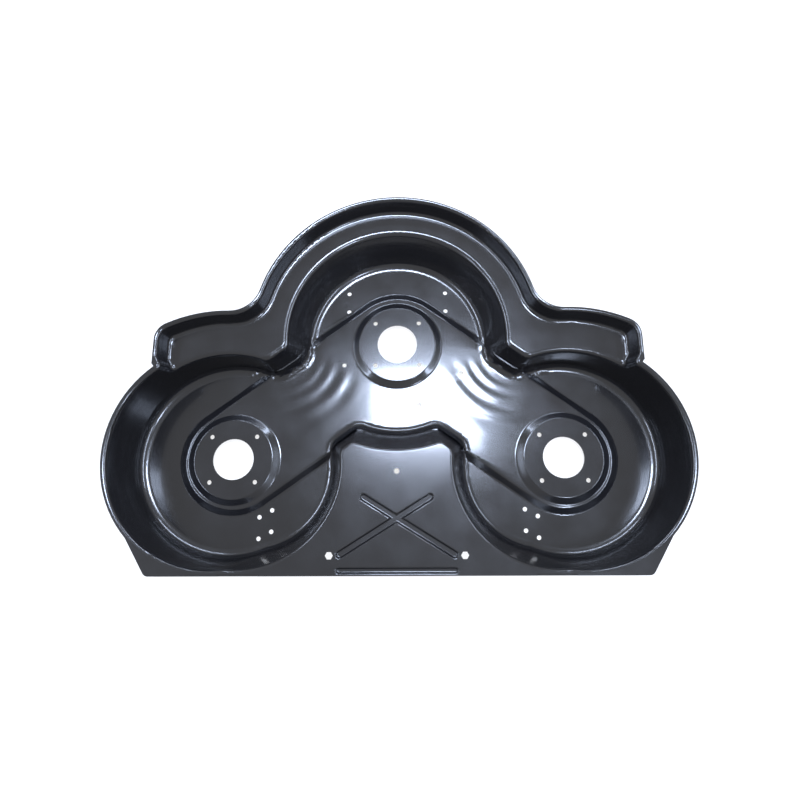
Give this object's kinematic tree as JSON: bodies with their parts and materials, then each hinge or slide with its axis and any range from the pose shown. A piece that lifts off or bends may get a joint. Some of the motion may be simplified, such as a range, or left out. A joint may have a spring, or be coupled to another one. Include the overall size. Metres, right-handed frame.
{
  "type": "lawn mower deck",
  "caption": "Pressed sheet-steel mower deck shell with joined round blade chambers, spindle discs with bores and bolt squares, a lipped front shelf and a beaded rear island.",
  "frame": {"origin": "centre of the deck's plan, on the plane of the chamber floors' backs, which it lies on", "axes": "+X across the deck from spindle to spindle, +Y towards the front shelf, +Z out of the open side"},
  "size_m": [1.097, 0.738, 0.118],
  "materials": {
    "black_paint": "semi-gloss black paint on pressed sheet steel"
  },
  "bodies": {
    "root": {"deck_shell": "black_paint"}
  },
  "joints": []
}
